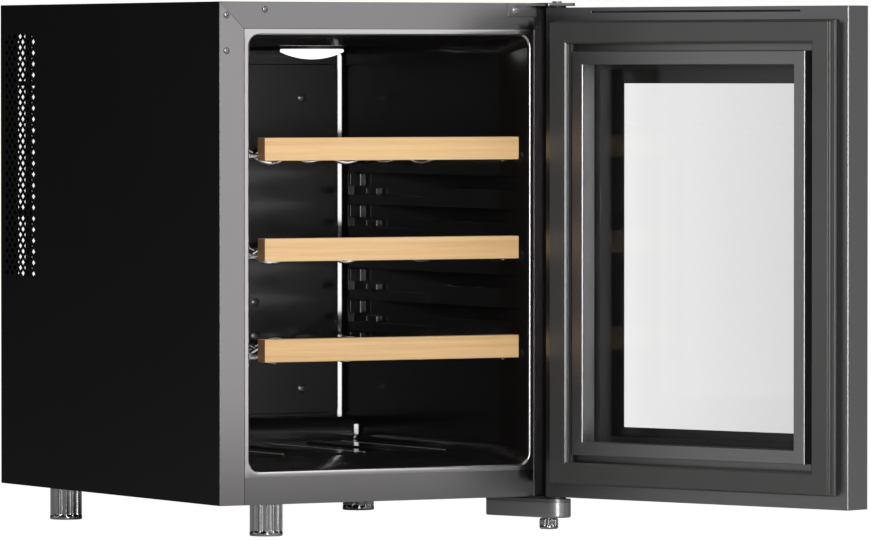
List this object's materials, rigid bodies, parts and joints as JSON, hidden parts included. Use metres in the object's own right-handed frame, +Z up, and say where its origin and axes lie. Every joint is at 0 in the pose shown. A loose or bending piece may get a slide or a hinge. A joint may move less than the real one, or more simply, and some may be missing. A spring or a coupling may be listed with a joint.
{
  "type": "wine cooler",
  "caption": "Compact free-standing wine cooler: steel cabinet, gloss liner, sliding wire shelves with wood fronts, glazed side-hinged door and thermoelectric cooling.",
  "frame": {"origin": "centre of the base pan underside", "axes": "+X is the right of the cabinet, +Y its back, +Z up"},
  "size_m": [0.5093, 0.8294, 0.5131],
  "materials": {
    "case_steel": "satin black powder coat",
    "frame_steel": "semi-gloss graphite",
    "liner_plastic": "gloss black",
    "foam": "foamed polyurethane",
    "plain_steel": "zinc plated, graphite",
    "black_plastic": "fine grain",
    "aluminium": "extruded",
    "ceramic": "alumina white",
    "circuit_board": "solder mask",
    "lamp_plastic": "opal diffuser",
    "screw_steel": "nickel plated",
    "beech": "satin lacquered beech",
    "wire_chrome": "bright plated wire",
    "door_metal": "semi-gloss graphite",
    "gasket_rubber": "soft magnetic seal",
    "door_glass": "clear float",
    "nylon": "moulded nylon",
    "foot_chrome": "dark bright plate"
  },
  "bodies": {
    "cabinet": {"base_pan": "case_steel", "cold_fan_housing": "black_plastic", "cold_sink": "aluminium", "duct_panel": "liner_plastic", "duct_screws": "screw_steel", "foot_front_left": "foot_chrome", "foot_rear_left": "foot_chrome", "foot_rear_right": "foot_chrome", "front_rail_bottom": "frame_steel", "front_rail_top": "frame_steel", "front_stile_left": "frame_steel", "front_stile_right": "frame_steel", "hinge_hole_plugs": "screw_steel", "hinge_screws": "screw_steel", "hinge_washers": "nylon", "hot_fan_housing": "black_plastic", "hot_sink": "aluminium", "insulation_foam": "foam", "lamp_board": "circuit_board", "lamp_lens": "lamp_plastic", "levelling_nut": "screw_steel", "liner": "liner_plastic", "lower_hinge_cover": "door_metal", "lower_hinge_pin": "screw_steel", "lower_hinge_plate": "plain_steel", "lower_hinge_shim": "black_plastic", "peltier_module": "ceramic", "power_board": "circuit_board", "power_inlet": "black_plastic", "rear_bulkhead": "plain_steel", "rear_cover": "case_steel", "rear_screws": "screw_steel", "side_panel_left": "case_steel", "side_panel_right": "case_steel", "top_panel": "case_steel", "upper_hinge_bracket": "plain_steel", "upper_hinge_pin": "screw_steel"},
    "door": {"door_rail_bottom": "door_metal", "door_rail_top": "door_metal", "door_stile_free": "door_metal", "door_stile_hinge": "door_metal", "glazing_beads": "door_metal", "door_gasket": "gasket_rubber", "outer_pane": "door_glass", "inner_pane": "door_glass", "glass_spacer": "black_plastic", "control_board": "circuit_board", "door_hinge_bushes": "nylon"},
    "levelling_foot": {"levelling_foot": "foot_chrome"},
    "cold_fan": {"cold_fan_rotor": "black_plastic"},
    "hot_fan": {"hot_fan_rotor": "black_plastic"},
    "shelf_1": {"shelf_1_fascia": "beech", "shelf_1_rack": "wire_chrome", "shelf_1_screws": "screw_steel"},
    "shelf_2": {"shelf_2_fascia": "beech", "shelf_2_rack": "wire_chrome", "shelf_2_screws": "screw_steel"},
    "shelf_3": {"shelf_3_fascia": "beech", "shelf_3_rack": "wire_chrome", "shelf_3_screws": "screw_steel"}
  },
  "joints": [
    {"name": "door_hinge", "type": "hinge", "parent": "cabinet", "child": "door", "pos_m": [0.1744, -0.2542, 0], "axis": [0, 0, 1], "range_deg": [-110.3, 10]},
    {"name": "shelf_1_slide", "type": "slide", "parent": "cabinet", "child": "shelf_1", "axis": [0, -1, 0], "range_m": [0, 0.26]},
    {"name": "shelf_2_slide", "type": "slide", "parent": "cabinet", "child": "shelf_2", "axis": [0, -1, 0], "range_m": [0, 0.26]},
    {"name": "shelf_3_slide", "type": "slide", "parent": "cabinet", "child": "shelf_3", "axis": [0, -1, 0], "range_m": [0, 0.26]},
    {"name": "levelling_foot_travel", "type": "slide", "parent": "cabinet", "child": "levelling_foot", "axis": [0, 0, -1], "range_m": [0, 0.006]},
    {"name": "cold_fan_spin", "type": "hinge", "parent": "cabinet", "child": "cold_fan", "pos_m": [0, 0.1288, 0.245], "axis": [0, 1, 0], "continuous": true},
    {"name": "hot_fan_spin", "type": "hinge", "parent": "cabinet", "child": "hot_fan", "pos_m": [0, 0.1945, 0.245], "axis": [0, 1, 0], "continuous": true}
  ]
}
